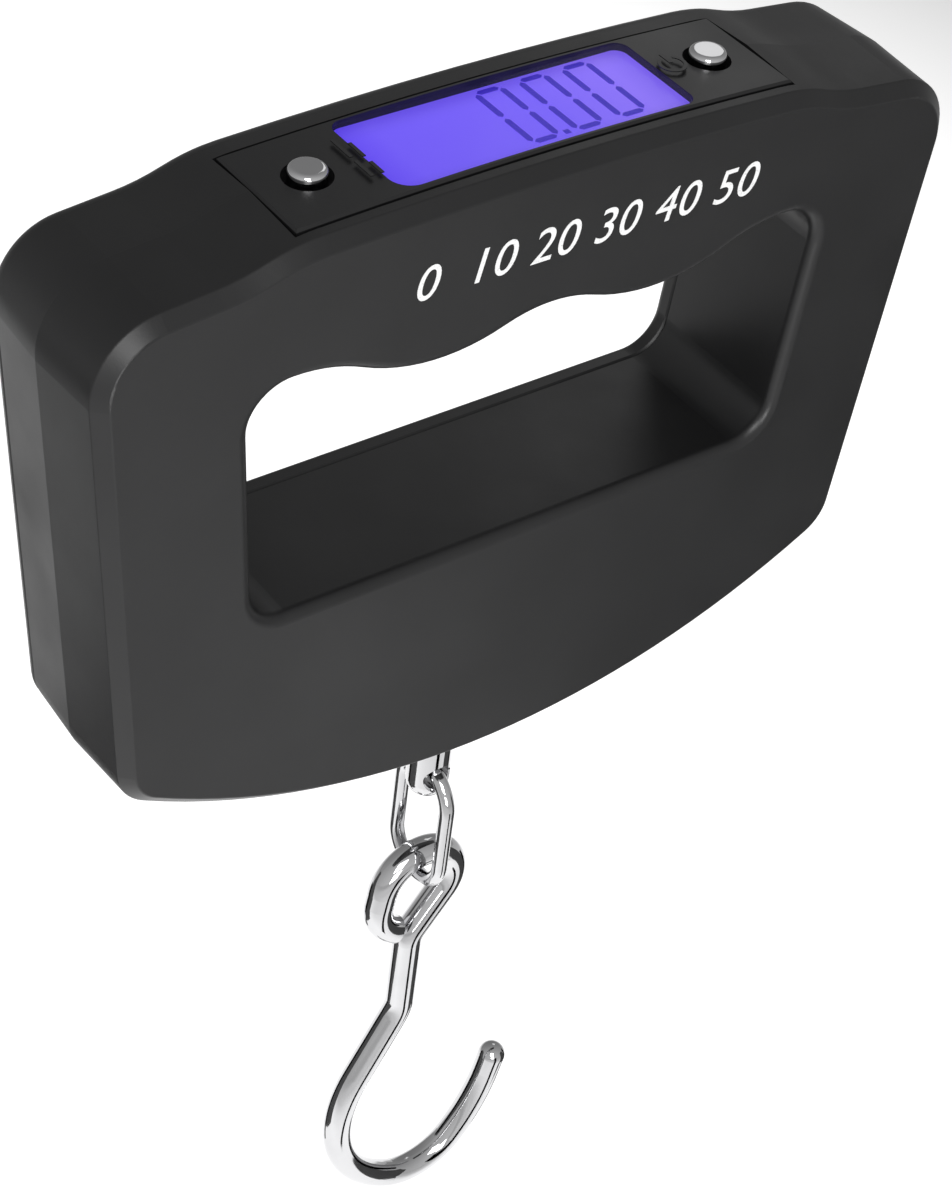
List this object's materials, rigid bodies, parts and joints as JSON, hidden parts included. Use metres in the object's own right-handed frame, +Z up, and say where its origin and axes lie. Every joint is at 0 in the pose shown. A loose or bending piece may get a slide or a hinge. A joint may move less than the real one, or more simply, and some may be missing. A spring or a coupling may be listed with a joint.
{
  "type": "digital fish scale",
  "caption": "Hand-held digital hanging scale: framed case with a finger-shaped grip, backlit display and push buttons on top, and a link with an open hook below.",
  "frame": {"origin": "middle of the grip bar's underside, at the case's mid thickness, where the hand pulls", "axes": "+X to the right as seen from the front, +Y out of the back cover, +Z up; the front face looks along -Y and the hook hangs along -Z"},
  "size_m": [0.1318, 0.026, 0.2167],
  "materials": {
    "case_plastic": "fine satin texture",
    "bezel_plastic": "satin",
    "window_clear": "polished",
    "display_blue": "backlit blue",
    "light_guide": "frosted",
    "contact_rubber": "matt",
    "board_green": "solder mask",
    "chip_black": "moulded epoxy",
    "parts_ceramic": "ceramic",
    "switch_black": "moulded",
    "chromed": "polished plating",
    "zinc_steel": "zinc plated",
    "spring_steel": "nickel plated",
    "bar_aluminium": "machined",
    "gauge_film": "film",
    "cell_wrap": "shrink sleeve",
    "wire_grey": "insulation"
  },
  "bodies": {
    "case": {"main_housing": "case_plastic", "rear_cover": "case_plastic", "display_bezel": "bezel_plastic", "display_window": "window_clear", "lcd_glass": "display_blue", "backlight": "light_guide", "contact_strip": "contact_rubber", "display_board": "board_green", "adc_chip": "chip_black", "controller_chip": "chip_black", "board_components": "parts_ceramic", "board_screws": "zinc_steel", "tactile_switches": "switch_black", "load_cell": "bar_aluminium", "strain_gauges": "gauge_film", "load_cell_plate": "zinc_steel", "load_cell_bolts": "zinc_steel", "hook_stud": "chromed", "stud_nut": "zinc_steel", "stud_washer": "zinc_steel", "battery_upper": "cell_wrap", "battery_lower": "cell_wrap", "battery_contacts": "spring_steel", "battery_springs": "spring_steel", "case_screws": "zinc_steel", "load_cell_cable": "wire_grey", "battery_leads": "wire_grey"},
    "battery_door": {"battery_door": "case_plastic"},
    "unit_button": {"unit_button": "chromed", "unit_switch_plunger": "switch_black"},
    "power_button": {"power_button": "chromed", "power_switch_plunger": "switch_black"},
    "link": {"link": "chromed"},
    "hook": {"hook": "chromed"}
  },
  "joints": [
    {"name": "link_swing", "type": "hinge", "parent": "case", "child": "link", "pos_m": [0, 0, -0.0917], "axis": [0, 1, 0], "range_deg": [-75, 75]},
    {"name": "hook_swing", "type": "hinge", "parent": "link", "child": "hook", "pos_m": [0.0002, 0, -0.11035], "axis": [1, 0, 0], "range_deg": [-60, 60]},
    {"name": "unit_press", "type": "slide", "parent": "case", "child": "unit_button", "axis": [0, 0, -1], "range_m": [0, 0.0006], "stiffness_N_per_m": 900, "springref_m": -0.0004},
    {"name": "power_press", "type": "slide", "parent": "case", "child": "power_button", "axis": [0, 0, -1], "range_m": [0, 0.0006], "stiffness_N_per_m": 900, "springref_m": -0.0004},
    {"name": "door_hinge", "type": "hinge", "parent": "case", "child": "battery_door", "pos_m": [0.006, 0.0121, -0.049], "axis": [0, 0, 1], "range_deg": [0, 95]}
  ]
}
